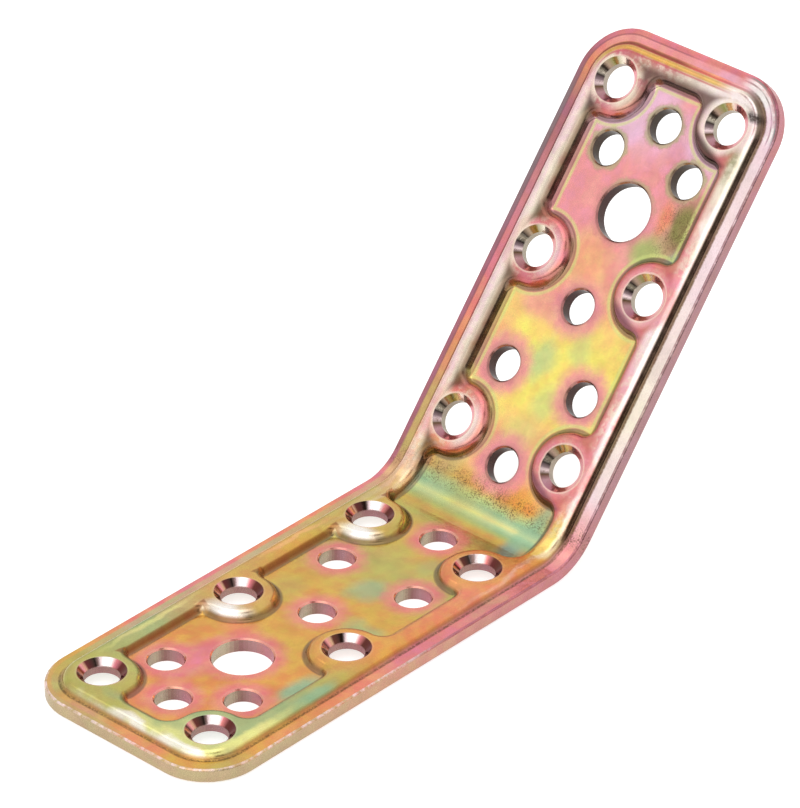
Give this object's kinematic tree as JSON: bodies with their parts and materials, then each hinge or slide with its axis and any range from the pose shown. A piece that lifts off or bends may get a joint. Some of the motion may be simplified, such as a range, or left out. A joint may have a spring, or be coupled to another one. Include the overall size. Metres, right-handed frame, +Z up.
{
  "type": "angle bracket",
  "caption": "Folded steel angle bracket with a raised bead round its edge, round lobes at its countersunk screw holes, and plain nail and bolt holes.",
  "frame": {"origin": "middle of the lower leg's screw pattern, on the seating face under that leg", "axes": "+Z up from the seating face, +X along the lower leg towards the fold and the raised leg, +Y across the plate"},
  "size_m": [0.1179, 0.035, 0.0564],
  "materials": {
    "plated_steel": "zinc plated with a yellow iridescent passivation, satin"
  },
  "bodies": {
    "root": {"bracket": "plated_steel"}
  },
  "joints": []
}
